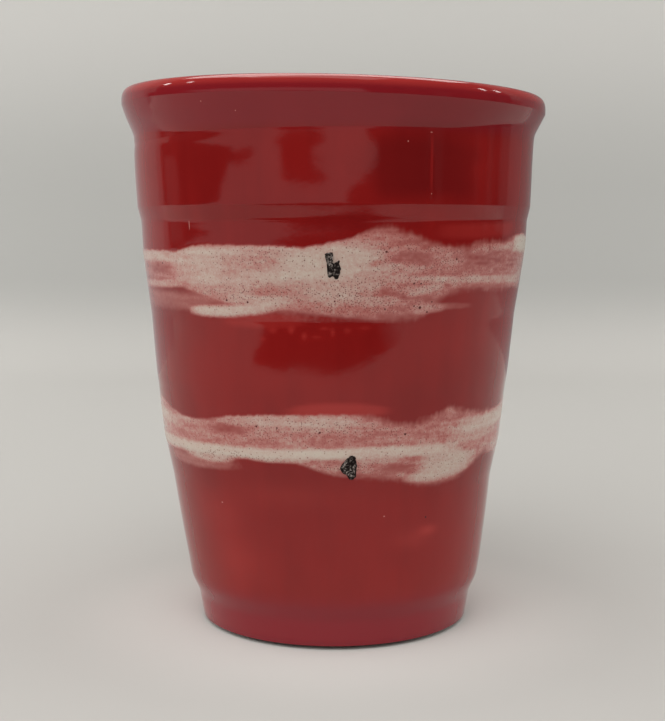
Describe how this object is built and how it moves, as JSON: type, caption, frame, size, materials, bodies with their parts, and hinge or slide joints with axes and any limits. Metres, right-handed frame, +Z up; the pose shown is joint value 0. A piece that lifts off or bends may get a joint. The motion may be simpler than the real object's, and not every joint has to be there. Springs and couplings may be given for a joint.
{
  "type": "art pottery vase",
  "caption": "Hand-thrown flaring vase with a rolled lip and a low foot, red glaze, brushed white bands and black dabs, for holding flowers.",
  "frame": {"origin": "centre of the foot, on the surface that the vase stands on", "axes": "+Z up along the axis of the wheel, -Y towards the front with the two black dabs, +X to the right seen from the front"},
  "size_m": [0.102, 0.102, 0.1282],
  "materials": {
    "bare_clay": "bare fired clay, matt, trimmed on the wheel",
    "red_glaze": "glossy red glaze, thinner and more orange on the lip",
    "white_glaze": "brushed white over red, pink and speckled where it is thin",
    "black_crust": "crusty black, semi-matt and rough"
  },
  "bodies": {
    "root": {"clay_body": "bare_clay", "lining_glaze": "red_glaze", "upper_glaze": "red_glaze", "upper_band": "white_glaze", "middle_glaze": "red_glaze", "lower_band": "white_glaze", "lower_glaze": "red_glaze", "upper_dab": "black_crust", "lower_dab": "black_crust"}
  },
  "joints": []
}
